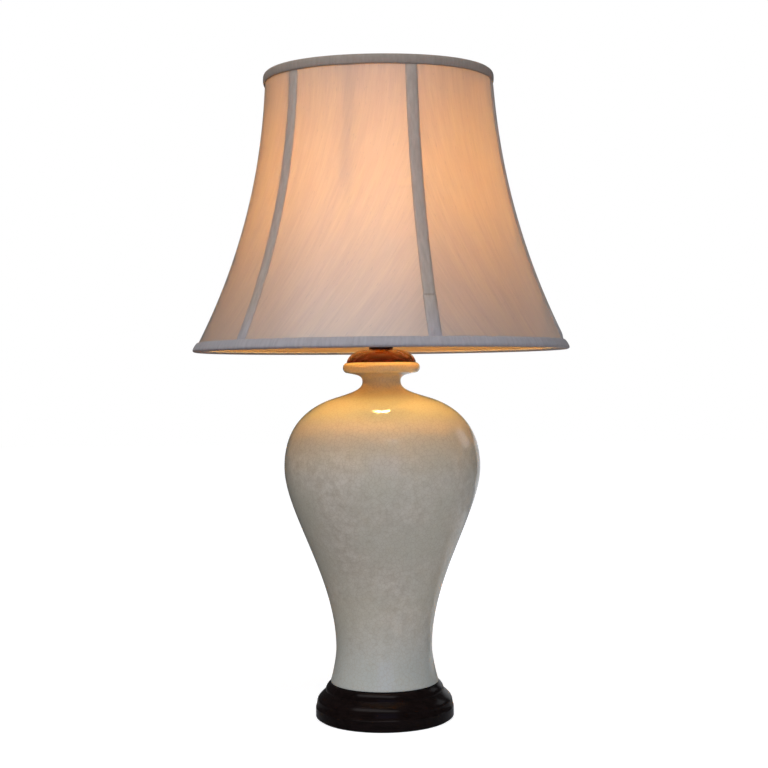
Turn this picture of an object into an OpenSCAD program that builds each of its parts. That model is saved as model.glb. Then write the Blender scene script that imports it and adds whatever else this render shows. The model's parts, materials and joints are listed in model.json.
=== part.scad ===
// Table lamp: a glazed meiping vase on a turned plinth, drilled for a threaded rod that carries
// a wood cap, a push-bar lampholder, a shade carrier and a six-panel bell shade.
// +Z is up, the front is -Y, and the origin is the centre of the felt pad's underside.
// Profiles are [radius, height] points and azimuths are in degrees, 0 at the front, + to the right.

/* [Plinth] */
// Radius of the plinth's foot
plinth_r = 75; // [72:1:95]
// Height of the plinth with its felt pad
plinth_h = 38; // [36:1:60]
// Height of the straight band round the foot
band_h = 12; // [10:1:14]
// Thickness of the felt pad
felt_t = 1.5; // [1:0.5:3]
// Radius of the recess turned into the underside
recess_r = 40; // [30:1:48]
// Thickness of wood left above the recess
plinth_floor = 18; // [12:1:20]
// Height of the cord hole's axis
cord_hole_z = 10; // [9.6:0.1:10.6]
// Radius of the cord hole through the bush
cord_hole_r = 3.6; // [3:0.1:4.2]
// Radius of the bush's barrel
bush_r = 5.5; // [5:0.1:6]
// Length of the bush's barrel
bush_len = 12; // [8:1:20]
// Radius of the bush's flange
bush_flange_r = 7; // [6.4:0.1:7.2]
// Thickness of the bush's flange
bush_flange_t = 1.5; // [1:0.1:2.5]

/* [Vase] */
// Thickness of the rubber ring under the vase
gasket_t = 1; // [0.5:0.5:3]
// Wall of the vase, square to its surface
vase_wall = 6; // [4:0.5:7]
// Thickness of the vase's floor
vase_floor = 8; // [6:1:12]
// Depth of the hollow inside the foot rim
foot_hollow = 3; // [1:0.5:5]
// Width of the foot rim
foot_rim = 10; // [8:0.5:14]
// Radius of the foot
foot_r = 59; // [55:0.5:60]
// Radius of the waist
waist_r = 52.2; // [48:0.1:55]
// Height of the waist above the vase's foot
waist_h = 37; // [30:1:60]
// Radius of the belly
belly_r = 106.4; // [90:0.1:130]
// Height of the belly above the vase's foot
belly_h = 233; // [220:1:245]
// Radius at which the shoulder turns up into the neck
shoulder_r = 50; // [42:0.5:58]
// Height of that turn above the vase's foot
shoulder_h = 308; // [300:1:314]
// Slope of the shoulder at that turn
shoulder_slope = 16.5; // [10:0.5:25]
// Radius of the neck
neck_r = 20.8; // [19:0.1:24]
// Height of the neck above the vase's foot
neck_h = 325.5; // [322:0.5:330]
// Height from the neck to the top of the lip
lip_rise = 20.5; // [19:0.5:30]
// Radius of the lip
lip_r = 41.9; // [38:0.1:48]
// Thickness of the lip's rounded edge
lip_t = 10.4; // [6:0.2:11]

/* [Wood cap] */
// Radius of the cap
cap_r = 37.7; // [32:0.1:40]
// Height of the cap
cap_h = 19; // [14:1:30]
// Height of the straight edge under the cap's dome
cap_edge = 0.8; // [0.7:0.1:2]
// Length of the spigot in the vase's mouth
spigot_len = 12; // [6:1:16]

/* [Rod and fixings] */
// Radius of the hollow threaded rod
rod_r = 5; // [4.5:0.1:5.5]
// Radius of the wire way through the rod
rod_bore_r = 3.75; // [3:0.05:3.8]
// Length of rod left below the nut
rod_tail = 3; // [1:0.5:4]
// Thickness of the nut
nut_h = 5; // [3:0.5:6]
// Width of the nut across its flats
nut_flats = 17; // [14:1:22]
// Thickness of the spring washer
spring_t = 1.6; // [1:0.2:2]
// Thickness of the plain washer
washer_t = 2; // [1:0.5:3]
// Radius of the plain washer
washer_r = 18; // [14:1:28]

/* [Lampholder] */
// Radius of the seat disc on the wood cap
disc_r = 13; // [11:0.5:15]
// Thickness of the seat disc
disc_t = 3; // [2:0.5:6]
// Height of the spacer tube between the seat disc and the lampholder
spacer_h = 20; // [16:1:40]
// Radius of the spacer tube
spacer_r = 9.5; // [8:0.5:11]
// Outer radius of the lampholder
holder_r = 19.5; // [19:0.1:22]
// Wall of the lampholder's shell
holder_wall = 1.5; // [1:0.1:1.8]
// Height of the lampholder's cap
holder_cap_h = 25; // [22:1:34]
// Height of the lampholder's shell
shell_h = 46; // [45:1:56]
// Height of the insulating insert
insert_h = 14; // [13:1:16]
// Radius of the push bar
bar_r = 2; // [1.5:0.1:2.4]
// Travel of the push bar
bar_travel = 6; // [4:0.5:9]
// Radius of the screw shell's bore, for a 27 mm screw cap
screw_bore_r = 13.7; // [13.5:0.05:14.2]
// Height of the screw shell
screw_shell_h = 26; // [24:0.5:27]
// Height of each of the two shade rings
ring_h = 7; // [5:0.5:8]
// Radius of the shade rings
ring_r = 25; // [24:0.5:28]

/* [Bulb] */
// Radius of the bulb's round end
bulb_r = 30; // [25:0.5:34]
// Length of the bulb with its screw cap
bulb_len = 109; // [100:1:116]
// Wall of the bulb's glass
glass_t = 1; // [0.6:0.1:1.4]
// Length of the glass neck cemented into the screw cap
glass_seat = 4; // [3:0.5:10]
// Crest radius of the screw cap
screw_cap_r = 13.2; // [13:0.05:13.25]
// Pitch of the screw cap
screw_pitch = 3.63; // [3.5:0.01:3.7]

/* [Shade carrier] */
// Height from the carrier's base to its gallery
carrier_h = 75; // [60:1:90]
// Radius of the carrier's wires
carrier_wire_r = 1.6; // [1.2:0.1:2]
// Thickness of the carrier's sheet
carrier_t = 1.5; // [1:0.1:2]
// Centreline radius of the shade's gimbal ring
gimbal_r = 51; // [48:0.5:56]
// Radius of the gimbal's wire
gimbal_wire_r = 2; // [1.5:0.1:2.5]
// Height from the gimbal ring to the shade's top edge
gimbal_drop = 138; // [110:1:150]
// Radius of the bend in each gimbal arm
arm_bend_r = 12; // [6:1:20]

/* [Shade] */
// Height of the shade
shade_h = 295; // [270:1:300]
// Radius over the binding at the top edge
shade_top_r = 124; // [118:0.5:135]
// Radius over the binding at the bottom edge
shade_bottom_r = 203; // [190:0.5:215]
// Radius of the hollow curve down each panel
bell_curve_r = 750; // [600:10:1200]
// Thickness of the outer silk on its backing
silk_t = 1; // [0.6:0.1:1.4]
// Thickness of the lining
lining_t = 0.8; // [0.5:0.1:1]
// Radius of the ribs' wire
rib_wire_r = 1.75; // [1.2:0.05:1.9]
// Radius of the top and bottom rings' wire
hoop_wire_r = 2; // [1.9:0.05:2.4]
// Width of the tapes and bindings
tape_w = 12; // [8:0.5:15]
// Thickness of the tapes and bindings
tape_t = 1.2; // [0.8:0.1:1.6]
// Azimuth of the first rib
first_rib = -44; // [-60:1:0]

/* [Fits] */
// Gap left between pieces that seat on each other
seat_gap = 0.05; // [0.02:0.01:0.08]
// Gap between sewn or lapped pieces of the shade
cloth_gap = 0.3; // [0.1:0.05:0.4]
// Radial play of the rod in the pieces that it passes through
rod_play = 0.3; // [0.1:0.05:0.4]
// Radial play of the push bar in its holes
bar_play = 0.06; // [0.02:0.01:0.1]

/* [Hidden] */
$fn = 96;

// Panels, ribs and tapes of the shade, and arms of its gimbal
n_panels = 6;
n_arms = 3;
panel_angle = 360 / n_panels;

// Heights up the rod
recess_top_z = plinth_h - plinth_floor;
washer_z = recess_top_z - washer_t;
spring_z = washer_z - spring_t;
nut_z = spring_z - nut_h;
vase_z = plinth_h + gasket_t;
vase_h = neck_h + lip_rise;
cap_z = vase_z + vase_h;
disc_z = cap_z + cap_h;
spacer_z = disc_z + disc_t;
holder_z = spacer_z + spacer_h;
shell_z = holder_z + holder_cap_h;
insert_z = shell_z;
insert_top_z = insert_z + insert_h;
shell_top_z = shell_z + shell_h;

// Lampholder details
holder_floor = 8;
holder_bore_r = holder_r - holder_wall;
insert_ledge = 3;
rod_top_z = holder_z + holder_floor + 1;
screw_shell_t = 0.8;
mouth_gap = 1.2;
contact_t = 0.6;
contact_rise = 7;
bar_z = insert_z + insert_h / 2;
bar_head_r = 3;
bar_head_t = 2;
bar_head_gap = 0.3;
bar_span = 2 * (holder_r + bar_head_gap) + bar_travel;
screw_x = 9;
screw_r = 1.5;
screw_head_r = 2.8;
screw_head_t = 2;
screw_depth = 8;

// Bulb, from its tip upwards
bulb_z = insert_top_z + contact_rise + seat_gap;
tip_h = 2.5;
insulator_h = 4.5;
screw_cap_h = 20;
thread_depth = 1.1;
bulb_cap_z = bulb_z + tip_h + insulator_h;
glass_z = bulb_cap_z + screw_cap_h;
bulb_centre_z = bulb_z + bulb_len - bulb_r;

// Shade carrier, clamped between the two shade rings
carrier_z = shell_z + 25;
gallery_z = carrier_z + carrier_h;
base_out_r = ring_r + 4;
gallery_in_r = gimbal_r - gimbal_wire_r - 2.5;
gallery_out_r = gimbal_r + gimbal_wire_r - 0.4;
gallery_rim_h = 4;
upright_foot_r = ring_r + carrier_wire_r + 0.6;
upright_r = gallery_in_r + carrier_wire_r + 0.5;

// Shade: its edges, and the centre of the hollow curve down its panels
gimbal_z = gallery_z + gimbal_wire_r + seat_gap;
shade_top_z = gimbal_z + gimbal_drop;
shade_bottom_z = shade_top_z - shade_h;
silk_top = [shade_top_r - tape_t - seat_gap, shade_top_z - tape_t - cloth_gap];
silk_bottom = [shade_bottom_r - tape_t - seat_gap, shade_bottom_z + tape_t + cloth_gap];
chord = silk_bottom - silk_top;
bell_centre = (silk_top + silk_bottom) / 2
    + sqrt(pow(bell_curve_r, 2) - pow(norm(chord) / 2, 2)) * [-chord.y, chord.x] / norm(chord);

// Depths inside the silk's outer face
hoop_depth = silk_t + cloth_gap + hoop_wire_r;
rib_depth = silk_t + cloth_gap + rib_wire_r;
lining_depth = silk_t + 2 * cloth_gap + 2 * hoop_wire_r;
binding_leg = tape_w / 2;
top_hoop_z = silk_top.y - cloth_gap - hoop_wire_r;
bottom_hoop_z = silk_bottom.y + cloth_gap + hoop_wire_r;
arm_r = bell_r(top_hoop_z, hoop_depth);
slit_w = 2 * (gimbal_wire_r + cloth_gap);

// Colours
wood_dark = "#1b1514";
wood_red = "#5c1f10";
glaze = "#d8d2c0";
steel = "#9a9c9f";
brass = "#b08d4a";
bakelite = "#141312";
silk = "#d9c7b4";
tape = "#8d8480";

// Points after the first on the cubic curve with control points p
function curve(p, n) = [for (i = [1:n]) curve_at(p, i / n)];
function curve_at(p, t) = pow(1 - t, 3) * p[0] + 3 * pow(1 - t, 2) * t * p[1]
    + 3 * (1 - t) * pow(t, 2) * p[2] + pow(t, 3) * p[3];

// The same points moved d to the left of the direction of travel
function left_of_curve(p, n, d) = [for (i = [1:n]) curve_at(p, i / n) + d * left_of(p, i / n)];
function left_of(p, t) = let (v = pow(1 - t, 2) * (p[1] - p[0]) + 2 * (1 - t) * t * (p[2] - p[1])
    + pow(t, 2) * (p[3] - p[2])) [-v.y, v.x] / norm(v);

// Points along an arc about c, with radii rx and ry
function arc(c, rx, ry, from, to, n) =
    [for (i = [0:n]) let (a = from + (to - from) * i / n) c + [rx * cos(a), ry * sin(a)]];

// Radius of the shade's curve at height z, at a depth inside the silk's outer face
function bell_r(z, depth) = bell_centre.x
    - sqrt(pow(bell_curve_r + depth, 2) - pow(bell_centre.y - z, 2));

module at_azimuth(a) rotate([0, 0, a - 90]) children();

module tube(z, h, r_out, r_in) translate([0, 0, z]) difference() {
    cylinder(r = r_out, h = h);
    translate([0, 0, -1]) cylinder(r = r_in, h = h + 2);
}

module hoop(z, r, wire_r) translate([0, 0, z])
    rotate_extrude() translate([r, 0]) circle(r = wire_r, $fn = 32);

// Straight round wire between two points of the XZ plane
module wire(from, to, r) translate([from.x, 0, from.y])
    rotate([0, atan2(to.x - from.x, to.y - from.y), 0]) cylinder(r = r, h = norm(to - from), $fn = 32);

// Slice of the shade's profile between two depths and two heights
module bell_slice(depth_0, depth_1, z_0, z_1) intersection() {
    translate(bell_centre) difference() {
        circle(r = bell_curve_r + depth_1, $fn = 720);
        circle(r = bell_curve_r + depth_0, $fn = 720);
    }
    translate([1, z_0]) square([bell_centre.x - bell_curve_r + 300, z_1 - z_0]);
}

// ---- Plinth and felt

plinth_profile = concat(
    arc([plinth_r - 1, felt_t + 1], 1, 1, -90, 0, 4),
    [[plinth_r, band_h], [plinth_r - 1.4, band_h + 5.5], [plinth_r - 1.6, band_h + 7]],
    curve([[plinth_r - 1.6, band_h + 7], [plinth_r - 1.8, band_h + 10.2],
        [plinth_r - 5.5, band_h + 13.5], [plinth_r - 9.8, band_h + 17.3]], 8),
    [[plinth_r - 10.6, band_h + 17.7], [plinth_r - 10.7, band_h + 18.3]],
    curve([[plinth_r - 10.7, band_h + 18.3], [plinth_r - 10.8, plinth_h - 5.2],
        [plinth_r - 12.6, plinth_h - 2.2], [plinth_r - 14.6, plinth_h - 0.4]], 6),
    [[plinth_r - 15.1, plinth_h]]);

module felt_pad() color("#2c3a2e") cylinder(r = plinth_r - 3, h = felt_t);

module plinth() color(wood_dark) difference() {
    rotate_extrude() polygon(concat([[0, felt_t]], plinth_profile, [[0, plinth_h]]));
    translate([0, 0, felt_t - 1]) cylinder(r = recess_r, h = recess_top_z - felt_t + 1);
    cylinder(r = rod_r + rod_play, h = plinth_h + 1);
    translate([0, 0, cord_hole_z]) rotate([-90, 0, 0]) {
        cylinder(r = cord_hole_r + 1, h = plinth_r + 1);
        translate([0, 0, plinth_r - 1 - bush_len]) cylinder(r = bush_r + seat_gap, h = bush_len + 2);
        translate([0, 0, plinth_r - 1]) cylinder(r = bush_flange_r + seat_gap, h = 2);
    }
}

module cord_bush() color(bakelite) translate([0, plinth_r - 1, cord_hole_z]) rotate([-90, 0, 0])
    difference() {
        union() {
            translate([0, 0, seat_gap - bush_len]) cylinder(r = bush_r, h = bush_len);
            translate([0, 0, seat_gap]) cylinder(r = bush_flange_r, h = bush_flange_t);
        }
        translate([0, 0, -bush_len - 1]) cylinder(r = cord_hole_r, h = bush_len + bush_flange_t + 2);
    }

// ---- Vase

shoulder_dir = [-cos(shoulder_slope), sin(shoulder_slope)];
shoulder_p = [shoulder_r, shoulder_h];
lip_underside = [neck_r + 9.2, neck_h + 8.7];
vase_curves = [
    [[foot_r, 0], [foot_r - 1.4, 2.3], [waist_r, 0.67 * waist_h], [waist_r, waist_h]],
    [[waist_r, waist_h], [waist_r, waist_h + 0.39 * (belly_h - waist_h)],
        [belly_r, belly_h - 0.25 * (belly_h - waist_h)], [belly_r, belly_h]],
    [[belly_r, belly_h], [belly_r, belly_h + 0.64 * (shoulder_h - belly_h)],
        shoulder_p - 27.5 * shoulder_dir, shoulder_p],
    [shoulder_p, shoulder_p + 23.4 * shoulder_dir, [neck_r, neck_h - 7.7], [neck_r, neck_h]],
    [[neck_r, neck_h], [neck_r, neck_h + 5], lip_underside - [6, 1.3], lip_underside]];
curve_steps = [6, 20, 16, 9, 6];

module vase_gasket() color(bakelite) tube(plinth_h, gasket_t, foot_r - 2, foot_r - foot_rim + 1);

module vase() color(glaze) translate([0, 0, vase_z]) difference() {
    rotate_extrude() polygon(concat([[0, 0], [foot_r, 0]],
        [for (i = [0:4]) each curve(vase_curves[i], curve_steps[i])],
        arc([lip_r - lip_t / 2, vase_h - lip_t / 2], lip_t / 2, lip_t / 2, -90, 90, 12), [[0, vase_h]]));
    rotate_extrude() polygon(concat([[0, foot_hollow + vase_floor]],
        [for (i = [0:3]) each [for (p = left_of_curve(vase_curves[i], curve_steps[i], vase_wall))
            if (p.y > foot_hollow + vase_floor) p]],
        [[neck_r - vase_wall, vase_h + 1], [0, vase_h + 1]]));
    translate([0, 0, -1]) cylinder(r = foot_r - foot_rim, h = foot_hollow + 1);
    translate([0, 0, -1]) cylinder(r = rod_r + 2, h = vase_floor + foot_hollow + 2);
}

// ---- Rod, its fixings and the wood cap

module bottom_washer() color(steel) tube(washer_z, washer_t, washer_r, rod_r + rod_play);

module spring_washer() color(steel) difference() {
    tube(spring_z, spring_t, rod_r + 4, rod_r + rod_play);
    translate([rod_r + 2.5, 0, spring_z + spring_t / 2]) rotate([30, 0, 0]) cube([6, 1, 6], center = true);
}

module bottom_nut() color(brass) translate([0, 0, nut_z]) difference() {
    cylinder(d = nut_flats / cos(30), h = nut_h, $fn = 6);
    translate([0, 0, -1]) cylinder(r = rod_r + seat_gap, h = nut_h + 2);
}

module threaded_rod() color(steel) tube(nut_z - rod_tail, rod_top_z - nut_z + rod_tail, rod_r, rod_bore_r);

module wood_cap() color(wood_red) difference() {
    union() {
        rotate_extrude() polygon(concat([[0, cap_z], [cap_r - 0.6, cap_z], [cap_r, cap_z + 0.6]],
            curve([[cap_r, cap_z + cap_edge], [cap_r - 2.2, cap_z + 0.34 * cap_h],
                [cap_r - 9.2, disc_z], [disc_r, disc_z]], 18), [[0, disc_z]]));
        translate([0, 0, cap_z - spigot_len])
            cylinder(r = neck_r - vase_wall - rod_play, h = spigot_len + 1);
    }
    translate([0, 0, cap_z - spigot_len - 1]) cylinder(r = rod_r + rod_play, h = cap_h + spigot_len + 2);
}

module seat_disc() color(bakelite) tube(disc_z, disc_t, disc_r, rod_r + rod_play);

module spacer_tube() color(brass) tube(spacer_z, spacer_h, spacer_r, rod_r + rod_play);

// ---- Lampholder

// Bell-shaped lower half, with the rod's thread in its floor and a ledge for the insert
module holder_cap() color(bakelite) translate([0, 0, holder_z]) difference() {
    rotate_extrude() polygon(concat([[0, 0], [disc_r - 1, 0]],
        curve([[disc_r - 1, 0], [disc_r - 1, 0.45 * holder_cap_h], [holder_r, 0.35 * holder_cap_h],
            [holder_r, 0.8 * holder_cap_h]], 12), [[holder_r, holder_cap_h], [0, holder_cap_h]]));
    rotate_extrude() polygon(concat([[0, holder_floor], [disc_r - 5, holder_floor]],
        curve([[disc_r - 5, holder_floor], [disc_r - 4, 0.6 * holder_cap_h],
            [holder_bore_r - insert_ledge, 0.5 * holder_cap_h],
            [holder_bore_r - insert_ledge, 0.8 * holder_cap_h]], 10),
        [[holder_bore_r - insert_ledge, holder_cap_h + 1], [0, holder_cap_h + 1]]));
    translate([0, 0, -1]) cylinder(r = rod_r + seat_gap, h = holder_floor + 2);
}

module bar_hole(r) translate([-holder_r - 1, 0, bar_z])
    rotate([0, 90, 0]) cylinder(r = r, h = 2 * holder_r + 2);

module holder_insert() color("#d9d4c8") difference() {
    translate([0, 0, insert_z]) cylinder(r = holder_bore_r - 0.2, h = insert_h);
    bar_hole(bar_r + bar_play);
    for (side = [-1, 1]) translate([0, side * screw_x, insert_z - 1])
        cylinder(r = screw_r + seat_gap, h = screw_depth + 1.2, $fn = 32);
}

module terminal_screws() color(brass) for (side = [-1, 1])
    translate([0, side * screw_x, insert_z - seat_gap]) difference() {
        union() {
            cylinder(r = screw_r, h = screw_depth, $fn = 32);
            translate([0, 0, -screw_head_t]) cylinder(r = screw_head_r, h = screw_head_t, $fn = 32);
        }
        translate([0, 0, -screw_head_t]) cube([2 * screw_head_r + 1, 0.8, 1.6], center = true);
    }

// Upper half: it bears the shade rings' thread outside, and its mouth surrounds the screw shell
module holder_shell() color(bakelite) difference() {
    union() {
        tube(shell_z, shell_h, holder_r, holder_bore_r);
        tube(shell_top_z - 2, 2, holder_r, screw_bore_r + screw_shell_t + mouth_gap);
    }
    bar_hole(bar_r + bar_play);
}

module screw_shell() color(brass) translate([0, 0, insert_top_z]) difference() {
    cylinder(r = screw_bore_r + screw_shell_t, h = screw_shell_h);
    translate([0, 0, screw_shell_t]) cylinder(r = screw_bore_r, h = screw_shell_h);
    translate([0, 0, -1]) cylinder(r = 8, h = 3);
}

// Springy tongue: a flat foot on the insert, a ramp and a flat end under the bulb's tip
module centre_contact() color(brass) translate([0, 2, insert_top_z]) rotate([90, 0, 0])
    linear_extrude(height = 4) polygon([[-7, 0], [-3, 0],
        [3 * contact_t - 3, contact_rise - contact_t], [4, contact_rise - contact_t],
        [4, contact_rise], [2 * contact_t - 3, contact_rise],
        [-3 - contact_t / 2, contact_t], [-7, contact_t]]);

// Moulded ring with finger flutes, screwed along the shell to clamp the carrier
module shade_ring(z) color(bakelite) difference() {
    tube(z, ring_h, ring_r, holder_r + seat_gap);
    for (i = [0:17]) rotate([0, 0, 20 * i]) translate([ring_r + 0.8, 0, z - 1])
        cylinder(r = 1.8, h = ring_h + 2, $fn = 24);
}

module lower_shade_ring() shade_ring(carrier_z - ring_h - seat_gap);
module upper_shade_ring() shade_ring(carrier_z + carrier_t + seat_gap);

// Pushed through to the left at rest, with a head at each end
module push_bar() color(bakelite) translate([bar_span / 2 - bar_travel / 2, 0, bar_z]) rotate([0, -90, 0]) {
    translate([0, 0, -bar_head_t]) cylinder(r = bar_head_r, h = bar_head_t, $fn = 32);
    cylinder(r = bar_r, h = bar_span);
    translate([0, 0, bar_span]) cylinder(r = bar_head_r, h = bar_head_t, $fn = 32);
}

// ---- Bulb, with its thread drawn as rings

module bulb_tip() color(steel) translate([0, 0, bulb_z]) rotate_extrude() polygon(concat([[0, 0]],
    arc([3, 1.5], 1.8, 1.5, -90, 0, 6), [[4.8, tip_h], [0, tip_h]]));

module bulb_insulator() color(bakelite) translate([0, 0, bulb_z + tip_h + seat_gap])
    rotate_extrude() polygon([[0, 0], [5.5, 0],
        [screw_cap_r - thread_depth - 1, insulator_h - seat_gap], [0, insulator_h - seat_gap]]);

function thread_r(z) = screw_cap_r - thread_depth * (1 - cos(360 * z / screw_pitch)) / 2;
thread_step = screw_pitch / 8;

module bulb_cap() color(steel) translate([0, 0, bulb_cap_z + seat_gap]) rotate_extrude() difference() {
    polygon(concat([[0, 0], [thread_r(screw_pitch / 2) - 1, 0]],
        [for (z = [screw_pitch / 2:thread_step:screw_cap_h - 1]) [thread_r(z), z]],
        [[screw_cap_r, screw_cap_h], [0, screw_cap_h]]));
    translate([-1, 1]) square([screw_cap_r - thread_depth - 0.6 + 1, screw_cap_h]);
}

// Pear shape: a straight neck standing in the screw cap, flaring into a round end
neck_glass_r = screw_cap_r - thread_depth - 0.7;
glass_low_z = glass_z - glass_seat;
glass_flare = [[neck_glass_r, glass_z + 2], [neck_glass_r + 1, glass_z + 18],
    [bulb_r, bulb_centre_z - 26], [bulb_r, bulb_centre_z]];

module bulb_glass() color("#f6ead8") rotate_extrude() difference() {
    polygon(concat([[0, glass_low_z], [neck_glass_r, glass_low_z], [neck_glass_r, glass_z + 2]],
        curve(glass_flare, 12), arc([0, bulb_centre_z], bulb_r, bulb_r, 6, 90, 14)));
    polygon(concat([[-1, glass_low_z - 1], [neck_glass_r - glass_t, glass_low_z - 1],
        [neck_glass_r - glass_t, glass_z + 2]], left_of_curve(glass_flare, 12, glass_t),
        arc([0, bulb_centre_z], bulb_r - glass_t, bulb_r - glass_t, 6, 90, 14),
        [[-1, bulb_centre_z + bulb_r - glass_t]]));
}

// ---- Shade carrier and gimbal

// Base washer, three splayed uprights and a gallery whose rim centres the gimbal ring
module shade_carrier() color(brass) {
    tube(carrier_z, carrier_t, base_out_r, holder_r + seat_gap);
    for (i = [0:n_arms - 1]) at_azimuth(first_rib + 120 * i)
        wire([upright_foot_r, carrier_z + carrier_t / 2],
            [upright_r, gallery_z - carrier_t / 2], carrier_wire_r);
    translate([0, 0, gallery_z]) rotate_extrude() polygon([[gallery_in_r, -carrier_t],
        [gallery_out_r, -carrier_t], [gallery_out_r, 0], [gallery_in_r + carrier_t, 0],
        [gallery_in_r + carrier_t, gallery_rim_h], [gallery_in_r, gallery_rim_h]]);
}

module gimbal_ring() color(brass) hoop(gimbal_z, gimbal_r, gimbal_wire_r);

// Each arm leaves the gimbal ring level, bends up and meets the top hoop from below
module gimbal_arms() color(brass) for (i = [0:n_arms - 1])
    at_azimuth(first_rib + panel_angle / 2 + 120 * i)
        translate([arm_r - arm_bend_r, 0, gimbal_z + arm_bend_r]) gimbal_arm(
            arm_r - arm_bend_r - gimbal_r - gimbal_wire_r - seat_gap,
            top_hoop_z - hoop_wire_r - seat_gap - gimbal_z - arm_bend_r);

// Bent wire, drawn from the centre of its bend
module gimbal_arm(level_len, upright_len) {
    translate([0, 0, -arm_bend_r]) rotate([0, -90, 0])
        cylinder(r = gimbal_wire_r, h = level_len, $fn = 32);
    rotate([90, 90, 0]) rotate_extrude(angle = 90)
        translate([arm_bend_r, 0]) circle(r = gimbal_wire_r, $fn = 32);
    translate([arm_bend_r, 0, 0]) cylinder(r = gimbal_wire_r, h = upright_len, $fn = 32);
}

// ---- Shade frame and coverings

module top_hoop() color(steel) hoop(top_hoop_z, bell_r(top_hoop_z, hoop_depth), hoop_wire_r);
module bottom_hoop() color(steel) hoop(bottom_hoop_z, bell_r(bottom_hoop_z, hoop_depth), hoop_wire_r);

// Angle round the bell's centre at which the ribs pass height z
function rib_angle(z) = 180 + asin((bell_centre.y - z) / (bell_curve_r + rib_depth));

// Ribs lie on the shade's curve and end saddled against the hoops
module shade_ribs() color(steel) for (i = [0:n_panels - 1])
    at_azimuth(first_rib + panel_angle * i) difference() {
        let (start = rib_angle(top_hoop_z), end = rib_angle(bottom_hoop_z))
            translate([bell_centre.x, 0, bell_centre.y]) rotate([90, 0, 0])
                rotate_extrude(start = start, angle = end - start, $fn = 720)
                    translate([bell_curve_r + rib_depth, 0]) circle(r = rib_wire_r, $fn = 24);
        hoop(top_hoop_z, bell_r(top_hoop_z, hoop_depth), hoop_wire_r + seat_gap);
        hoop(bottom_hoop_z, bell_r(bottom_hoop_z, hoop_depth), hoop_wire_r + seat_gap);
    }

module shade_panels() color(silk) for (i = [0:n_panels - 1]) at_azimuth(first_rib + panel_angle * i)
    let (seam = cloth_gap / shade_top_r * 180 / PI)
    rotate_extrude(angle = panel_angle - 2 * seam, start = seam)
        bell_slice(0, silk_t, silk_bottom.y, silk_top.y);

// The lining hangs inside the hoops, and is slit from its top edge round each gimbal arm
module shade_lining() color(silk) difference() {
    rotate_extrude() bell_slice(lining_depth, lining_depth + lining_t,
        shade_bottom_z + binding_leg + cloth_gap, shade_top_z - binding_leg - cloth_gap);
    for (i = [0:n_arms - 1]) at_azimuth(first_rib + panel_angle / 2 + 120 * i)
        translate([arm_r - tape_w, -slit_w / 2, (gimbal_z + shade_top_z) / 2])
            cube([2 * tape_w, slit_w, shade_h]);
}

module rib_tapes() color(tape) for (i = [0:n_panels - 1])
    at_azimuth(first_rib + panel_angle * i) intersection() {
        rotate_extrude() bell_slice(-seat_gap - tape_t, -seat_gap,
            shade_bottom_z + tape_w + seat_gap, shade_top_z - tape_w - seat_gap);
        translate([0, -tape_w / 2, shade_bottom_z]) cube([shade_bottom_r + tape_w, tape_w, shade_h]);
    }

// Binding folded over a hoop: a tall leg outside, a fold across the edge and a short leg inside
module binding(edge_z, side) color(tape) rotate_extrude() for (leg = [
        [-seat_gap - tape_t, -seat_gap, tape_w],
        [-seat_gap - tape_t, lining_depth + tape_t, tape_t],
        [lining_depth, lining_depth + tape_t, binding_leg]])
    bell_slice(leg[0], leg[1], min(edge_z, edge_z + side * leg[2]), max(edge_z, edge_z + side * leg[2]));

module top_binding() binding(shade_top_z, -1);
module bottom_binding() binding(shade_bottom_z, 1);

felt_pad();
plinth();
cord_bush();
vase_gasket();
vase();
bottom_washer();
spring_washer();
bottom_nut();
threaded_rod();
wood_cap();
seat_disc();
spacer_tube();
holder_cap();
holder_insert();
terminal_screws();
holder_shell();
screw_shell();
centre_contact();
lower_shade_ring();
shade_carrier();
upper_shade_ring();
push_bar();
bulb_tip();
bulb_insulator();
bulb_cap();
bulb_glass();
gimbal_ring();
gimbal_arms();
top_hoop();
bottom_hoop();
shade_ribs();
shade_panels();
shade_lining();
rib_tapes();
top_binding();
bottom_binding();
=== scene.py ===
"""Table lamp with shade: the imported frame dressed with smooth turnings, cloth and lit materials."""

import json
from math import cos, degrees, pi, radians, sin, sqrt

import bmesh
import bpy
from mathutils import Matrix, Vector


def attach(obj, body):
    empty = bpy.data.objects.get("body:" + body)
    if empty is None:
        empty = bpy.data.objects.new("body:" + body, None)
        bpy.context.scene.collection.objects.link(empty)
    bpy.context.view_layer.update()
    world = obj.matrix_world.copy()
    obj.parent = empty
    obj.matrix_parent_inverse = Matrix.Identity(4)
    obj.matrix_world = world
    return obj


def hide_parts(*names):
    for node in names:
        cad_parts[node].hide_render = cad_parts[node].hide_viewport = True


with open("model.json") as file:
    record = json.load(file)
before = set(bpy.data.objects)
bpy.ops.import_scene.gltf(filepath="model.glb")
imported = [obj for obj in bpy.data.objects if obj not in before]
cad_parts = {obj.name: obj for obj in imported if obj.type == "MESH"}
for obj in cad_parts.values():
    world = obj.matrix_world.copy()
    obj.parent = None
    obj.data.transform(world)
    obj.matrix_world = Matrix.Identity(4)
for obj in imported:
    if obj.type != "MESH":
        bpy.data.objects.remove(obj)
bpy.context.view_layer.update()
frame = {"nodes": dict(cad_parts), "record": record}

MM = 0.001
scene = bpy.context.scene
scene.view_settings.view_transform = "Standard"


# ---- Camera


def aim(obj, place, target):
    """Puts a camera or lamp at a place, turned to a target."""
    obj.location = place
    obj.rotation_euler = (Vector(target) - Vector(place)).to_track_quat("-Z", "Y").to_euler()


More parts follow.
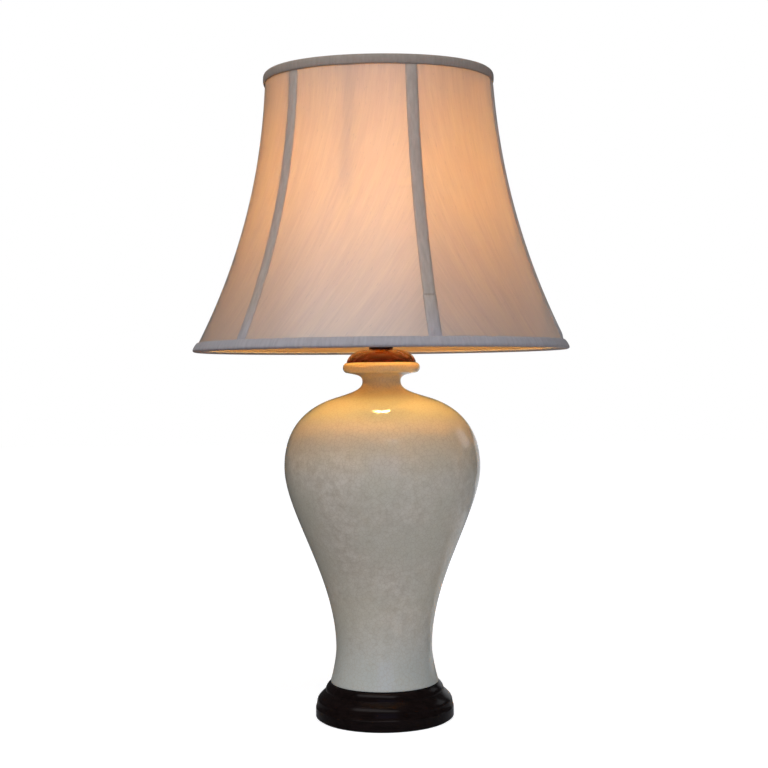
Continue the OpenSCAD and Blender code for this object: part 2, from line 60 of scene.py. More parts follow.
# In front of the lamp, just below the shade's rim, almost level
EYE, TILT, ROLL = (0.0027, -1.4695, 0.368), 90 - 0.255, -0.6
camera = bpy.data.objects.new("camera", bpy.data.cameras.new("camera"))
scene.collection.objects.link(camera)
camera.data.lens, camera.data.sensor_width = 63.28, 36
camera.matrix_world = (
    Matrix.Translation(EYE) @ Matrix.Rotation(radians(TILT), 4, "X") @ Matrix.Rotation(radians(ROLL), 4, "Z")
)
scene.camera = camera


# ---- Materials: sizes in mm are turned to a pattern's scale as 1000 / mm

RGBA = {"out": 2, "data_type": "RGBA"}  # settings of a Mix node of two colours
SMOOTH = {"interpolation_type": "SMOOTHSTEP"}


def colour(hex_colour):
    """Linear RGBA of an sRGB hex colour."""
    parts = [int(hex_colour[i : i + 2], 16) / 255 for i in (1, 3, 5)]
    return [c / 12.92 if c <= 0.04045 else ((c + 0.055) / 1.055) ** 2.4 for c in parts] + [1]


def add(tree, kind, inputs=None, out=0, **settings):
    """Adds a shader node, links or sets its inputs, and returns one of its output sockets."""
    node = tree.nodes.new("ShaderNode" + kind)
    for key, value in settings.items():
        setattr(node, key, value)
    for key, value in (inputs or {}).items():
        if isinstance(value, bpy.types.NodeSocket):
            tree.links.new(value, node.inputs[key])
        else:
            node.inputs[key].default_value = value
    return node.outputs[out] if node.outputs else None


def material(name, build):
    """A material whose surface is the shader that build makes in its tree."""
    mat = bpy.data.materials.new(name)
    mat.use_nodes = True
    mat.node_tree.nodes.clear()
    add(mat.node_tree, "OutputMaterial", {"Surface": build(mat.node_tree)})
    return mat


def streaks(t, place, *size):
    """Noise from 0 to 1 drawn out to streaks of the given size in mm."""
    drawn = add(t, "Mapping", {"Vector": place, "Scale": [1000 / mm for mm in size] + [1] * (3 - len(size))})
    noise = add(t, "TexNoise", {"Vector": drawn, "Scale": 1, "Detail": 2, "Roughness": 0.55})
    return add(t, "MapRange", {"Value": noise, "From Min": 0.3, "From Max": 0.7})


# Light painted into the glaze up the vase: heights in m each tone fades in between, share and tone
GLAZE_PAINTED_LIGHT = [
    (0.13, 0.045, 0.9, "#c0c5bf"),  # painted cool light bounced up from the floor by the foot
    (0.26, 0.32, 0.8, "#e6dcbc"),  # painted glow of the lamp under the shade
    (0.316, 0.332, 0.7, "#c8d0b0"),  # painted tint of the lamp's glow on the shoulder
    (0.346, 0.36, 0.9, "#fbe4ae"),  # painted warm glow of the lamp on the neck
]


def crackle_glaze(t):
    """Ivory glaze fired over stoneware: glossy, cloudy, and crazed in cells about 4 mm across, with light painted in
    by height.
    """
    place = add(t, "TexCoord", out="Object")
    wander = add(t, "TexNoise", {"Vector": place, "Scale": 1000 / 6, "Detail": 2}, out="Color")
    bent = add(t, "Mix", {0: 0.0016, 4: place, 5: wander}, out=1, data_type="VECTOR")
    edge = add(t, "TexVoronoi", {"Vector": bent, "Scale": 1000 / 4.2}, feature="DISTANCE_TO_EDGE")
    line = add(t, "MapRange", {"Value": edge, "From Min": 0.0, "From Max": 0.09, "To Min": 1, "To Max": 0})
    cloud = add(t, "TexNoise", {"Vector": place, "Scale": 1000 / 9, "Detail": 3, "Roughness": 0.6})
    spread = add(t, "MapRange", {"Value": cloud, "From Min": 0.36, "From Max": 0.64})
    drift = add(t, "TexNoise", {"Vector": place, "Scale": 1000 / 60, "Detail": 1})
    wide = add(t, "MapRange", {"Value": drift, "From Min": 0.35, "From Max": 0.65, "To Max": 0.75})
    body = add(t, "Mix", {0: spread, 6: colour("#cfc6b4"), 7: colour("#e0d9c9")}, **RGBA)
    glaze_and_painted_light = add(t, "Mix", {0: wide, 6: body, 7: colour("#d0ccb9")}, **RGBA)
    height = add(t, "SeparateXYZ", {"Vector": place}, out=2)
    # Painted light: each tone stands in for floor bounce or the lamp's glow at its height
    for start, end, share, tone in GLAZE_PAINTED_LIGHT:
        painted_light_share = add(t, "MapRange", {"Value": height, "From Min": start, "From Max": end, "To Max": share}, **SMOOTH)
        glaze_and_painted_light = add(t, "Mix", {0: painted_light_share, 6: glaze_and_painted_light, 7: colour(tone)}, **RGBA)
    stain = add(t, "Math", {0: line, 1: 0.26}, operation="MULTIPLY")
    final = add(t, "Mix", {0: stain, 6: glaze_and_painted_light, 7: colour("#a89878")}, **RGBA)
    relief = add(t, "Bump", {"Height": line, "Strength": 0.12, "Distance": 0.0001}, invert=True)
    rough = add(t, "MapRange", {"Value": cloud, "From Min": 0.3, "From Max": 0.7, "To Min": 0.05, "To Max": 0.1})
    return add(t, "BsdfPrincipled", {"Base Color": final, "Roughness": rough, "Normal": relief})


# Only the cap stands this high, in m: its crown gets a painted glow of the lamp, its collar painted shade under the
# lampholder
CROWN_GLOW_LOW, CROWN_GLOW_HIGH, COLLAR_SHADE_LOW = 0.388, 0.3975, 0.3991


def turned_wood(dark, light, roughness, gloss):
    """Turned hardwood under thin lacquer: a soft shine over grain 5 mm wide along X and fine dark pores, with light
    and shade painted on the cap.
    """

    def build(t):
        place = add(t, "TexCoord", out="Object")
        long = add(t, "Mapping", {"Vector": place, "Scale": (1000 / 90, 1000 / 5, 1000 / 5)})
        grain = add(t, "TexNoise", {"Vector": long, "Scale": 1, "Detail": 4, "Roughness": 0.65, "Distortion": 0.6})
        fine = add(t, "Mapping", {"Vector": place, "Scale": (1000 / 12, 1000 / 0.6, 1000 / 0.6)})
        pores = add(t, "TexNoise", {"Vector": fine, "Scale": 1, "Detail": 2})
        band = add(t, "MapRange", {"Value": grain, "From Min": 0.35, "From Max": 0.65})
        pore = add(t, "MapRange", {"Value": pores, "From Min": 0.58, "From Max": 0.7})
        base = add(t, "Mix", {0: band, 6: colour(dark), 7: colour(light)}, **RGBA)
        height = add(t, "SeparateXYZ", {"Vector": place}, out=2)
        # Painted lamp glow lightens the cap's crown
        crown = add(t, "MapRange", {"Value": height, "From Min": CROWN_GLOW_LOW, "From Max": CROWN_GLOW_HIGH, "To Max": 0.9})
        base = add(t, "Mix", {0: crown, 6: base, 7: colour("#844615")}, **RGBA)
        # Painted shade darkens the collar under the lampholder
        collar_shade = add(t, "Math", {0: height, 1: COLLAR_SHADE_LOW}, operation="GREATER_THAN")
        base = add(t, "Mix", {0: collar_shade, 6: base, 7: colour("#1c0708")}, **RGBA)
        shade = add(t, "Math", {0: pore, 1: 0.35}, operation="MULTIPLY")
        deep = add(t, "Mix", {0: shade, 6: base, 7: colour("#0c0504")}, **RGBA)
        least, most = {"From Min": 0.3, "To Min": roughness - 0.04}, {"From Max": 0.7, "To Max": roughness + 0.05}
        rough = add(t, "MapRange", {"Value": grain, **least, **most})
        bump = add(t, "Bump", {"Height": pores, "Strength": 0.08, "Distance": 0.0001})
        inputs = {"Base Color": deep, "Roughness": rough, "Normal": bump, "Specular IOR Level": gloss}
        return add(t, "BsdfPrincipled", inputs)

    return build


def dupion_silk(t):
    """Slubbed silk, woven and stretched: it lets the lamp through, streaked by long uneven threads along V.

    Threads are drawn from 1.1 mm wide, coarser than real ones, so that they show.
    """
    cloth = add(t, "UVMap", uv_map="cloth")
    thread = streaks(t, cloth, 1.1, 26)
    strand = streaks(t, cloth, 3.4, 55)
    patch = streaks(t, cloth, 15, 100)
    fine = add(t, "Mix", {0: 0.5, 2: thread, 3: strand})
    mixed = add(t, "Mix", {0: 0.25, 2: fine, 3: patch})
    slubs = {"Value": streaks(t, cloth, 1.3, 8), "From Min": 0.9, "From Max": 1.0}
    knots = add(t, "MapRange", {**slubs, "To Min": 1, "To Max": 0.75})
    face = add(t, "Mix", {0: mixed, 6: colour("#c5c2c0"), 7: colour("#d9d6d4")}, **RGBA)
    tint = add(t, "Mix", {0: patch, 6: colour("#e9cd95"), 7: colour("#ecd48c")}, **RGBA)
    uneven = add(t, "MapRange", {"Value": mixed, "To Min": 0.89, "To Max": 1.07})
    glow = add(t, "HueSaturation", {"Color": tint, "Value": uneven})
    glow = add(t, "HueSaturation", {"Color": glow, "Value": knots})
    bump = add(t, "Bump", {"Height": fine, "Strength": 0.2, "Distance": 0.0002})
    front = add(t, "BsdfPrincipled", {"Base Color": face, "Roughness": 0.55, "Sheen Weight": 0.1, "Normal": bump})
    through = add(t, "BsdfTranslucent", {"Color": glow})
    body = add(t, "MixShader", {0: 0.5, 1: front, 2: through})
    gloss = add(t, "BsdfGlossy", {"Color": colour("#f4f2f0"), "Roughness": 0.42, "Normal": bump})
    return add(t, "MixShader", {0: add(t, "Fresnel", {"IOR": 1.85}), 1: body, 2: gloss})


def lining_satin(t):
    """Gold lining, woven smooth: an even warm face that the lamp shines through."""
    cloth = add(t, "UVMap", uv_map="cloth")
    thread = streaks(t, cloth, 0.9, 30)
    face = add(t, "Mix", {0: thread, 6: colour("#e0bf98"), 7: colour("#e6c7a0")}, **RGBA)
    front = add(t, "BsdfPrincipled", {"Base Color": face, "Roughness": 0.5, "Sheen Weight": 0.1})
    through = add(t, "BsdfTranslucent", {"Color": colour("#c2b6a2")})
    return add(t, "MixShader", {0: 0.5, 1: front, 2: through})


def grosgrain_tape(t):
    """Grey bias tape: fine ribs at 45 degrees over an uneven weave, with the bottom band painted paler and cooler as
    if lit from above.

    The ribs come 0.63 mm apart, as a wave of scale 1 repeats every pi / 10. The top band is painted darkest, as
    shade.
    """
    cloth = add(t, "UVMap", uv_map="cloth")
    turned = add(t, "Mapping", {"Vector": cloth, "Rotation": (0, 0, radians(45)), "Scale": (1000, 1000, 1)})
    ribs = add(t, "TexWave", {"Vector": turned, "Scale": 0.5, "Distortion": 1.5, "Detail": 2, "Detail Scale": 2})
    uneven = streaks(t, cloth, 3, 14)
    mixed = add(t, "Mix", {0: 0.7, 2: ribs, 3: uneven})
    # Painted light: the bottom band gets a paler, cooler tone than the tape above it
    upper_tone = add(t, "Mix", {0: mixed, 6: colour("#ada69b"), 7: colour("#cec6bb")}, **RGBA)
    painted_lit_tone = add(t, "Mix", {0: mixed, 6: colour("#acadb2"), 7: colour("#c8c8cd")}, **RGBA)
    height = add(t, "SeparateXYZ", {"Vector": add(t, "TexCoord", out="Object")}, out=2)
    painted_lit_mask = add(t, "MapRange", {"Value": height, "From Min": 0.405, "From Max": 0.445})
    face = add(t, "Mix", {0: painted_lit_mask, 6: painted_lit_tone, 7: upper_tone}, **RGBA)
    # Painted shade darkens the top band
    painted_top_shade = add(t, "MapRange", {"Value": height, "From Min": 0.679, "From Max": 0.683, "To Max": 0.3})
    face = add(t, "Mix", {0: painted_top_shade, 6: face, 7: colour("#5c5450")}, **RGBA)
    bump = add(t, "Bump", {"Height": ribs, "Strength": 0.3, "Distance": 0.0002})
    matt = {"Roughness": 0.7, "Sheen Weight": 0.1, "Specular IOR Level": 0.25}
    front = add(t, "BsdfPrincipled", {"Base Color": face, "Normal": bump, **matt})
    through = add(t, "BsdfTranslucent", {"Color": colour("#e6bb88")})
    return add(t, "MixShader", {0: 0.3, 1: front, 2: through})


def plain(light, dark, roughness, size, metallic=0.0, bump=0.1, coat=0.0):
    """A finish with slight cloudy wear: colour, roughness and bump from noise of one size in mm."""

    def build(t):
        place = add(t, "TexCoord", out="Object")
        cloud = add(t, "TexNoise", {"Vector": place, "Scale": 1000 / size, "Detail": 3})
        spread = add(t, "MapRange", {"Value": cloud, "From Min": 0.35, "From Max": 0.65})
        face = add(t, "Mix", {0: spread, 6: colour(dark), 7: colour(light)}, **RGBA)
        least = {"From Min": 0.3, "To Min": roughness * 0.85}
        most = {"From Max": 0.7, "To Max": min(roughness * 1.2, 1)}
        rough = add(t, "MapRange", {"Value": cloud, **least, **most})
        relief = add(t, "Bump", {"Height": cloud, "Strength": bump, "Distance": 0.0002})
        inputs = {"Base Color": face, "Roughness": rough, "Normal": relief, "Metallic": metallic, "Coat Weight": coat}
        return add(t, "BsdfPrincipled", inputs)

    return build


LAMP = 80.0  # strength of the lit bulb


def lit_opal(t):
    """Opal bulb glass, alight: an even warm glare that hides the glass itself."""
    light = {"Emission Color": colour("#ffd486"), "Emission Strength": LAMP}
    return add(t, "BsdfPrincipled", {"Base Color": colour("#fff4e2"), "Roughness": 0.3, **light})


FINISHES = {
    # Pressed wool felt: matt and a little hairy
    "felt": plain("#344236", "#222c24", 1.0, 1.5, bump=0.6),
    # Hardwood stained black and lacquered: near black, with narrow highlights
    "ebonised_wood": turned_wood("#120d0c", "#1c1413", 0.17, 0.07),
    # Moulded rubber: dark and dull
    "bush_rubber": plain("#1d1c1b", "#131212", 0.6, 4),
    "gasket_rubber": plain("#211f1d", "#151413", 0.7, 4),
    "crackle_glaze": crackle_glaze,
    # Zinc-plated steel: grey metal, slightly clouded
    "zinc_steel": plain("#b4b6ba", "#8d8f93", 0.35, 3, metallic=1.0),
    # Spun and drawn brass under lacquer: warm metal, softly bright
    "lacquered_brass": plain("#c9a25a", "#a8813c", 0.28, 6, metallic=1.0),
    # Mahogany, turned and lacquered: red brown with a low shine
    "mahogany": turned_wood("#240401", "#6c1104", 0.26, 0.2),
    # Moulded phenolic: near black and smooth under its own skin
    "phenolic": plain("#1c1917", "#120f0e", 0.22, 8, coat=0.3),
    # Pressed and fired steatite: off-white and matt
    "steatite": plain("#ddd8cb", "#cbc4b4", 0.6, 2),
    # Black glass moulded into the screw cap: dark and shiny
    "black_glass": plain("#101014", "#0a0a0c", 0.1, 6),
    # Drawn aluminium of the screw cap: pale metal with a slight haze
    "bulb_aluminium": plain("#c6c8cb", "#a6a8ac", 0.3, 3, metallic=1.0),
    "lit_opal_glass": lit_opal,
    # Steel wire dipped in cream enamel: smooth with a low shine
    "frame_wire": plain("#d6cfbf", "#c4bba8", 0.45, 3),
    "dupion_silk": dupion_silk,
    "lining_satin": lining_satin,
    "grosgrain_tape": grosgrain_tape,
}
paint = {name: material(name, build) for name, build in FINISHES.items()}

for part in frame["record"]["subparts"]:
    node = frame["nodes"][part["node"]]
    for s in node.material_slots:
        s.link = "OBJECT"
        s.material = paint[part["material_slot"]]


# ---- Meshes, made in mm


def piece(name, verts, faces, body, slot, nodes, flip=False, uv=None, sharp=40):
    """A smooth mesh piece that rides on a body and stands for CAD nodes."""
    mesh = bpy.data.meshes.new(name)
    mesh.from_pydata([Vector(v) * MM for v in verts], [], faces)
    if flip:
        mesh.flip_normals()
    if uv:
        layer = mesh.uv_layers.new(name="cloth")
        for loop in mesh.loops:
            layer.data[loop.index].uv = uv[loop.vertex_index]
    mesh.shade_smooth()
    mesh.set_sharp_from_angle(angle=radians(sharp))
    mesh.materials.append(paint[slot])
    obj = bpy.data.objects.new(name, mesh)
    scene.collection.objects.link(obj)
    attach(obj, body)
    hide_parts(*nodes)
    return obj


def quads(rows, cols, wrap_rows=False, wrap_cols=False, skip=None):
    """Faces of a grid of vertices kept row by row."""
    return [
        (r * cols + c, r * cols + (c + 1) % cols, (r + 1) % rows * cols + (c + 1) % cols, (r + 1) % rows * cols + c)
        for r in range(rows if wrap_rows else rows - 1)
        for c in range(cols if wrap_cols else cols - 1)
        if not (skip and skip(r, c))
    ]


def turned(name, outline, body, slot, nodes, steps=144):
    """A closed outline of (radius, height) points turned round the lamp's axis."""
    verts = [
        (r * cos(2 * pi * i / steps), r * sin(2 * pi * i / steps), z)
        for r, z in outline
        for i in range(steps)
    ]
    obj = piece(name, verts, quads(len(outline), steps, wrap_rows=True, wrap_cols=True), body, slot, nodes)
    weld(obj)
    return obj


def weld(obj):
    """Welds doubled points and turns the faces outwards."""
    bm = bmesh.new()
    bm.from_mesh(obj.data)
    bmesh.ops.remove_doubles(bm, verts=bm.verts, dist=1e-6)
    bmesh.ops.recalc_face_normals(bm, faces=bm.faces)
    bm.to_mesh(obj.data)
    bm.free()


def cubic(p, n):
    """Points after the first on a cubic curve."""
    return [
        tuple(
            (1 - t) ** 3 * p[0][k] + 3 * (1 - t) ** 2 * t * p[1][k] + 3 * (1 - t) * t**2 * p[2][k] + t**3 * p[3][k]
            for k in (0, 1)
        )
        for t in [i / n for i in range(1, n + 1)]
    ]


def arc(cx, cy, rx, ry, start, end, n):
    """Points along an ellipse between two angles in degrees."""
    return [
        (cx + rx * cos(radians(start + (end - start) * i / n)), cy + ry * sin(radians(start + (end - start) * i / n)))
        for i in range(n + 1)
    ]


# ---- Plinth, vase and cap: outlines of (radius, height) in mm

FELT_TOP, RECESS_R, RECESS_TOP, ROD_BORE_R = 1.5, 40, 20, 5.3
PLINTH_TOP, VASE_Z, CAP_Z, DISC_Z = 38, 39, 385, 404

plinth = turned(
    "plinth_turned",
    [(RECESS_R, FELT_TOP), (74, FELT_TOP)]
    + arc(74, 2.5, 1, 1, -80, 0, 4)
    + [(75, 11.4)]
    + arc(74.4, 12, 0.6, 0.6, 0, 60, 3)
    + [(73.7, 17.2), (73.45, 18.2), (73.4, 19)]
    + cubic([(73.4, 19), (73.2, 22.2), (69.5, 25.5), (65.2, 29.3)], 20)
    + [(64.6, 29.5), (64.35, 29.8), (64.3, 30.3)]
    + cubic([(64.3, 30.3), (64.2, 32.8), (62.4, 35.8), (60.4, 37.6)], 14)
    + [(60.1, 37.9), (59.9, PLINTH_TOP), (ROD_BORE_R, PLINTH_TOP), (ROD_BORE_R, RECESS_TOP), (RECESS_R, RECESS_TOP)],
    "lamp",
    "ebonised_wood",
    ["plinth"],
)

# The cord's way in at the rear, stepped for its bush: radius and the Y that each step starts at
CORD_Z, CORD_STEPS, PAST_PLINTH = 10, ((4.6, 30), (5.55, 62), (7.05, 74)), 80
ROUND = 48  # sides of each cutter
cutters = []
for radius, start in CORD_STEPS:
    ring = [(radius * cos(2 * pi * i / ROUND), radius * sin(2 * pi * i / ROUND)) for i in range(ROUND)]
    verts = [Vector((x, y, CORD_Z + z)) * MM for y in (start, PAST_PLINTH) for x, z in ring]
    faces = [tuple(range(ROUND)), tuple(range(2 * ROUND - 1, ROUND - 1, -1))]
    faces += [(i, (i + 1) % ROUND, ROUND + (i + 1) % ROUND, ROUND + i) for i in range(ROUND)]
    mesh = bpy.data.meshes.new("cutter")
    mesh.from_pydata(verts, [], faces)
    cutter = bpy.data.objects.new("cutter", mesh)
    scene.collection.objects.link(cutter)
    weld(cutter)
    cutters.append(cutter)
    cut = plinth.modifiers.new("cord hole", "BOOLEAN")
    cut.operation, cut.object, cut.solver = "DIFFERENCE", cutter, "EXACT"
bpy.context.view_layer.update()
graph = bpy.context.evaluated_depsgraph_get()
drilled = bpy.data.meshes.new_from_object(plinth.evaluated_get(graph))
plinth.modifiers.clear()
plinth.data = drilled
plinth.data.set_sharp_from_angle(angle=radians(40))
for cutter in cutters:
    bpy.data.objects.remove(cutter)

# The vase's wall from its own foot up: one curve between each two of these, the last up to the rolled lip
FOOT, WAIST, BELLY, SHOULDER, NECK = (59, 0), (52.2, 37), (106.4, 233), (50, 308), (20.8, 325.5)
LIP_UNDERSIDE, LIP_TOP, MOUTH_R = (30, 333.3), 346, 14.8
SLOPE, WALL = radians(16.5), 6
FLOOR_BORE_R, FOOT_HOLLOW, FLOOR_TOP = 7, 3, 11
along_slope = [(SHOULDER[0] + d * cos(SLOPE), SHOULDER[1] - d * sin(SLOPE)) for d in (27.5, -23.4)]
vase_curves = [
    [FOOT, (57.6, 2.3), (52.2, 24.79), WAIST],
    [WAIST, (52.2, 113.44), (106.4, 184), BELLY],
    [BELLY, (106.4, 281), along_slope[0], SHOULDER],
    [SHOULDER, along_slope[1], (20.8, 317.8), NECK],
    [NECK, (20.8, 330.5), (24, 332.1), LIP_UNDERSIDE],
]
outer = [FOOT]
for curve, n in zip(vase_curves, (12, 48, 40, 20, 12)):
    outer += cubic(curve, n)
# The inside keeps the wall's thickness from above the floor to the neck
inner = []
for (r0, z0), (r1, z1) in zip(outer[6:], outer[7:-12]):
    length = sqrt((r1 - r0) ** 2 + (z1 - z0) ** 2)
    inner.append(((r0 + r1) / 2 - WALL * (z1 - z0) / length, (z0 + z1) / 2 + WALL * (r1 - r0) / length))
inner = [p for p in inner if p[1] > FLOOR_TOP + 0.5][::3]
vase_outline = (
    [(FLOOR_BORE_R, FOOT_HOLLOW), (49, FOOT_HOLLOW), (49, 0.6), (49.6, 0), (58.4, 0)]
    + outer[1:]
    + arc(36.5, 340.3, 5.4, 5.7, -90, 90, 24)
    + [(MOUTH_R + 0.6, LIP_TOP), (MOUTH_R, LIP_TOP - 0.6), (MOUTH_R, 322)]
    + inner[::-1]
    + [(FLOOR_BORE_R, FLOOR_TOP)]
)
turned(
    "vase_glazed",
    [(r, z + VASE_Z) for r, z in vase_outline],
    "lamp",
    "crackle_glaze",
    ["vase"],
    steps=192,
)

CAP_R, COLLAR_R, CROWN_TOP = 37.7, 13.2, CAP_Z + 14
SPIGOT_R, SPIGOT_LOW = 14.5, CAP_Z - 12
turned(
    "cap_turned",
    [(ROD_BORE_R, SPIGOT_LOW), (SPIGOT_R, SPIGOT_LOW), (SPIGOT_R, CAP_Z), (CAP_R - 0.6, CAP_Z)]
    + arc(CAP_R - 0.6, CAP_Z + 0.6, 0.6, 0.6, -60, 0, 4)
    + cubic([(CAP_R, CAP_Z + 0.8), (35.7, CAP_Z + 7.5), (29, CROWN_TOP), (COLLAR_R + 0.6, CROWN_TOP)], 32)
    + [(COLLAR_R, CROWN_TOP + 0.3), (COLLAR_R, DISC_Z - 0.3), (COLLAR_R - 0.3, DISC_Z), (ROD_BORE_R, DISC_Z)],
    "lamp",
    "mahogany",
    ["wood_cap"],
    steps=128,
)

# ---- Lit bulb

BULB_Z, BULB_R, NECK_Z, NECK_R = 552.05, 30, 496.05, 11.4
AXIS_R = 0.02  # the outline ends this near the axis
turned(
    "bulb_opal",
    [(AXIS_R, NECK_Z), (NECK_R, NECK_Z), (NECK_R, NECK_Z + 6)]
    + cubic([(NECK_R, NECK_Z + 6), (NECK_R + 1, NECK_Z + 22), (BULB_R, BULB_Z - 26), (BULB_R, BULB_Z)], 18)
    + arc(AXIS_R, BULB_Z, BULB_R - AXIS_R, BULB_R, 5, 90, 18),
    "bulb",
    "lit_opal_glass",
    ["bulb_glass"],
    steps=48,
)

# ---- Shade: everything hangs on one hollow curve, a circle in section

BELL_R, BELL_X, BELL_Z = 750, 871.348, 736.395
TOP_Z, BOTTOM_Z = 692.05, 397.05
SILK_TOP, SILK_BOTTOM = TOP_Z - 1.5, BOTTOM_Z + 1.5
FIRST_RIB = -44
# The cloth is drawn up by this much at the sides of the top hoop, and less down to a height
DRAWN_UP, DRAWN_FROM = 5, 560


def bell_radius(z, depth=0.0):
    """The shade's radius at a height, at a depth inside the silk's outer face."""
    return BELL_X - sqrt((BELL_R + depth) ** 2 - (BELL_Z - z) ** 2)


def on_bell(z, depth, azimuth):
    """The point at a height, a depth inside the silk's outer face and an azimuth from the front."""
    r = bell_radius(z, depth)
    drawn_up = DRAWN_UP * sin(radians(azimuth)) ** 2 * max((z - DRAWN_FROM) / 132, 0) ** 2
    return (r * sin(radians(azimuth)), -r * cos(radians(azimuth)), z + drawn_up)


# How far each panel's threads lean by its lower edge: cloth pulled on the bias over the flare
LEAN = [108, -60, 110, -90, 120, 60]
PULLED_IN = 1.9  # how far stretched silk falls in between two ribs
COLS, ROWS = 40, 72
for k in range(6):
    verts, uv = [], []
    for j in range(ROWS + 1):
        v = j / ROWS
        z = SILK_TOP + (SILK_BOTTOM - SILK_TOP) * v
        for i in range(COLS + 1):
            u = i / COLS
            azimuth = FIRST_RIB + 60 * k + 60 * u
            pull = PULLED_IN * sin(pi * v) ** 0.8 * (1 - (2 * u - 1) ** 2)
            verts.append(on_bell(z, 0.1 + pull, azimuth))
            across = (u - 0.5) * radians(60) * bell_radius(z)
            uv.append(((across + LEAN[k] * v**2 + 500 * k) * MM, (TOP_Z - z) * MM))
    faces = quads(ROWS + 1, COLS + 1)
    silk = piece(f"silk_panel_{k + 1}", verts, faces, "shade", "dupion_silk", ["shade_panels"], flip=True, uv=uv)

ARMS = [FIRST_RIB + 30 + 120 * k for k in range(3)]
SLIT_LOW, SLIT_HALF = 641, 0.5  # lower end in mm and half width in degrees
LINING_DEPTH = 5.9
LIN_COLS, LIN_ROWS = 216, 60
low, high = BOTTOM_Z + 1.8, TOP_Z - 4
verts, uv = [], []
for j in range(LIN_ROWS + 1):
    z = high + (low - high) * j / LIN_ROWS
    for i in range(LIN_COLS):
        azimuth = FIRST_RIB + 360 * (i + 0.5) / LIN_COLS
        verts.append(on_bell(z, LINING_DEPTH, azimuth))
        uv.append((radians(azimuth) * 0.15, (TOP_Z - z) * MM))


def in_slit(row, col):
    """Whether a face of the lining is left out, so that a gimbal arm can pass."""
    z = high + (low - high) * (row + 0.5) / LIN_ROWS
    middle = FIRST_RIB + 360 * (col + 1) / LIN_COLS
    return z > SLIT_LOW and any(abs((middle - a + 180) % 360 - 180) < SLIT_HALF for a in ARMS)


faces = quads(LIN_ROWS + 1, LIN_COLS, wrap_cols=True, skip=in_slit)
lining = piece("lining_cloth", verts, faces, "shade", "lining_satin", ["shade_lining"], flip=True, uv=uv)


def crown(s, width, height):
    """How far a folded tape stands proud at s mm from its middle."""
    return height * max(1 - abs(2 * s / width) ** 2.2, 0) ** 0.55


LEG = 10.4  # width of a band's outer leg
TAPE_W, TAPE_CROWN, TAPE_COLS = 12.5, 1.75, 13
# Sideways wander of each tape in mm at its top, middle and bottom
WANDER = [(-1.7, 1.5, -1.2), (-0.8, -1.4, -2.6), (1, 0, -1), (-1, 0.5, 1), (0.5, -1, 0.6), (-0.6, 0.8, -1)]
# One tape is pieced: its lower length laps over the upper one behind a pressed line
PIECED, SEAM_Z = 1, 447
heights = [TOP_Z - 8 + (BOTTOM_Z + 16 - TOP_Z) * j / 90 for j in range(91)]
heights = sorted(heights + [SEAM_Z + 1.5, SEAM_Z + 1.1, SEAM_Z + 0.5, SEAM_Z], reverse=True)
tapes = []
for k, (top, middle, bottom) in enumerate(WANDER):
    azimuth = FIRST_RIB + 60 * k
    verts, uv = [], []
    for z in heights:
        v = (TOP_Z - z) / (TOP_Z - BOTTOM_Z)
        lapped = 1 if k == PIECED and z <= SEAM_Z else 0
        pressed = 0.8 if k == PIECED and SEAM_Z < z < SEAM_Z + 1.4 else 0
        width = TAPE_W + 0.9 * lapped
        flat = min(max((min(TOP_Z - z, z - BOTTOM_Z) - LEG) / 5, 0), 1)
        shift = top * (1 - v) * (1 - 2 * v) + middle * 4 * v * (1 - v) + bottom * v * (2 * v - 1)
        r = bell_radius(z)
        for side in (1, -1):
            for i in range(TAPE_COLS):
                s = (i / (TAPE_COLS - 1) - 0.5) * width * side
                rise = max(crown(s, width, TAPE_CROWN + 0.4 * lapped) * flat - pressed, 0)
                proud = 0.25 + rise if side == 1 else 0.02
                verts.append(on_bell(z, -proud, azimuth + degrees((s + shift) / r)))
                uv.append((s * MM * side, (TOP_Z - z + 400 * k) * MM))
    ring = 2 * TAPE_COLS
    last = (len(heights) - 1) * ring
    faces = quads(len(heights), ring, wrap_cols=True)
    faces += [tuple(range(ring)), tuple(range(last + ring - 1, last - 1, -1))]
    tape = piece(f"rib_tape_{k + 1}", verts, faces, "shade", "grosgrain_tape", ["rib_tapes"], uv=uv, sharp=60)
    tapes.append(tape)


def binding(name, node, edge_z, side):
    """A band folded over a hoop: a crowned leg outside, a rolled edge and a short leg inside."""
    # Height from the edge and depth: outer leg, roll round the hoop, short inner leg
    outline = [(LEG, 0.0), (LEG, -0.6)]
    outline += [(h, -0.5 - crown(h - LEG + 5.8, 12, 1.6)) for h in (9.9, 9.1, 7.9, 6.6, 5.4, 4.2, 3.4)]
    outline += [(2.9 - 2.9 * sin(radians(a)), 2.7 - 4.6 * cos(radians(a))) for a in range(10, 151, 20)]
    outline += [(2.2, 7.2), (2.9, 6.9), (3.1, 6.5), (2.9, 6.2), (2.2, 5.95), (1.2, 3), (2.4, 0.1)]
    steps = 240
    verts, uv, along = [], [], 0.0
    last = outline[0]
    for h, depth in outline:
        along += sqrt((h - last[0]) ** 2 + (depth - last[1]) ** 2)
        last = (h, depth)
        for i in range(steps):
            azimuth = 360 * i / steps
            verts.append(on_bell(edge_z + side * h, depth, azimuth))
            uv.append((radians(azimuth) * bell_radius(edge_z) * MM, along * MM))
    faces = quads(len(outline), steps, wrap_rows=True, wrap_cols=True)
    obj = piece(name, verts, faces, "shade", "grosgrain_tape", [node], uv=uv, sharp=70)
    weld(obj)
    return obj


bands = [binding("top_band", "top_binding", TOP_Z, -1), binding("bottom_band", "bottom_binding", BOTTOM_Z, 1)]

for tape in tapes:
    weld(tape)


# ---- Floor, world and lights


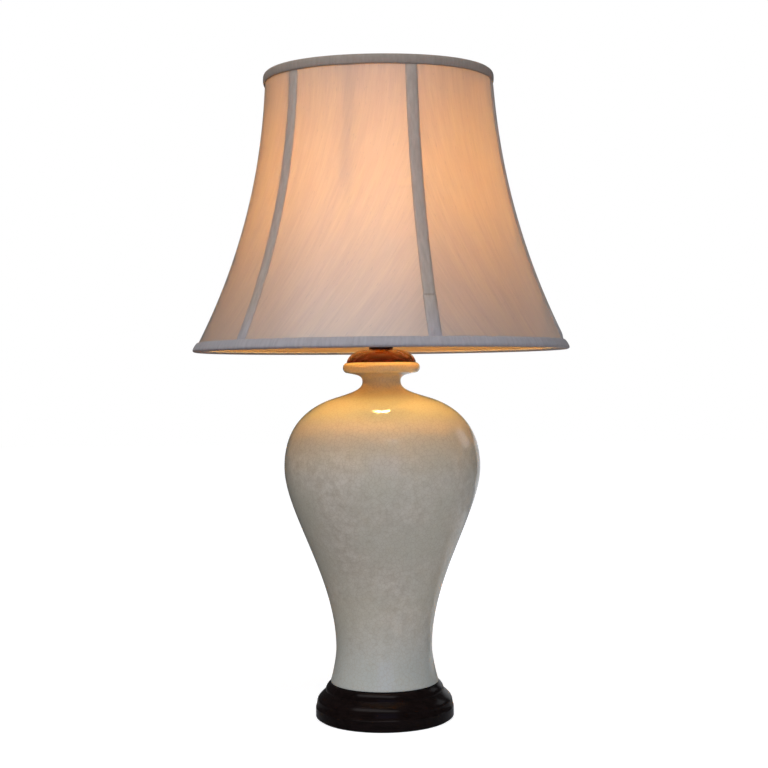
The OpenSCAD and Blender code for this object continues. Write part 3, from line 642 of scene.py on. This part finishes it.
def floor_paint(t):
    """Pale floor that reads white to the camera and keeps a soft shadow; it mirrors darker on the left."""
    seen = add(t, "LightPath", out="Is Camera Ray")
    place = add(t, "TexCoord", out="Object")
    away = add(t, "VectorMath", {0: place}, out=1, operation="LENGTH")
    level = add(t, "MapRange", {"Value": away, "From Min": 0.15, "From Max": 0.9, "To Min": 0.86, "To Max": 1.0})
    right = add(t, "SeparateXYZ", {"Vector": place}, out=0)
    across = add(t, "MapRange", {"Value": right, "From Min": -0.2, "From Max": 0.2}, **SMOOTH)
    tone = add(t, "Mix", {0: across, 6: colour("#898b90"), 7: colour("#ced3db")}, **RGBA)
    diffuse = add(t, "BsdfDiffuse", {"Color": tone})
    strength = add(t, "Math", {0: seen, 1: level}, operation="MULTIPLY")
    glow = add(t, "Emission", {"Color": (1, 1, 1, 1), "Strength": strength})
    return add(t, "AddShader", {0: diffuse, 1: glow})


FLOOR = 6  # half its width in m
mesh = bpy.data.meshes.new("floor")
mesh.from_pydata([(-FLOOR, -FLOOR, 0), (FLOOR, -FLOOR, 0), (FLOOR, FLOOR, 0), (-FLOOR, FLOOR, 0)], [], [(0, 1, 2, 3)])
mesh.materials.append(material("pale_floor", floor_paint))
floor = bpy.data.objects.new("floor", mesh)
scene.collection.objects.link(floor)

world = bpy.data.worlds.new("world")
scene.world = world
world.use_nodes = True
world.node_tree.nodes.clear()
air = world.node_tree
ambient = add(air, "Background", {"Color": colour("#f7faff"), "Strength": 0.06})
white = add(air, "Background", {"Color": colour("#ffffff"), "Strength": 1.0})
seen = add(air, "LightPath", out="Is Camera Ray")
add(air, "OutputWorld", {"Surface": add(air, "MixShader", {0: seen, 1: ambient, 2: white})})


def softbox(name, place, target, width, height, power, tint, mirrored=True):
    """An area lamp aimed at a point: sizes in m, power in W. Gloss shows it only if it is mirrored."""
    data = bpy.data.lights.new(name, "AREA")
    data.shape, data.size, data.size_y = "RECTANGLE", width, height
    data.energy, data.color = power, tint
    obj = bpy.data.objects.new(name, data)
    scene.collection.objects.link(obj)
    aim(obj, place, target)
    obj.visible_camera = False
    obj.visible_glossy = mirrored


# Soft light from above and in front; only the first of these four shows in gloss
softbox("overhead", (-0.5, -1.3, 2.2), (0, 0, 0.35), 3.0, 0.9, 28, (1, 0.99, 0.99))
softbox("fill", (-0.1, -2.1, 1.5), (0, 0, 0.4), 1.2, 1.0, 11.2, (0.94, 0.97, 1), mirrored=False)
softbox("left", (-1.9, -0.9, 1.2), (0, 0, 0.35), 0.8, 0.8, 6.4, (1, 0.95, 0.9), mirrored=False)
softbox("side", (1.4, -1.5, 0.8), (0, 0, 0.3), 0.8, 0.8, 3.4, (0.93, 0.97, 1), mirrored=False)
# Faint lights for gloss: a blue glow low in front, and pale ones low behind that edge the vase's right side
softbox("low_blue", (0.08, -1.8, 0.42), (0.03, 0, 0.2), 1.1, 0.8, 2.2, (0.42, 0.46, 1))
softbox("rim", (0.42, 1.2, 0.22), (0, 0, 0.22), 0.8, 0.42, 0.65, (0.95, 0.97, 1))
softbox("card", (0.27, 0.75, 0.004), (0.27, 0.76, 0.2), 0.42, 1.2, 0.55, (0.92, 0.96, 1))
softbox("back_window", (1.5, 0.9, 0.85), (0, 0, 0.35), 0.6, 0.55, 0.95, (0.93, 0.96, 1))
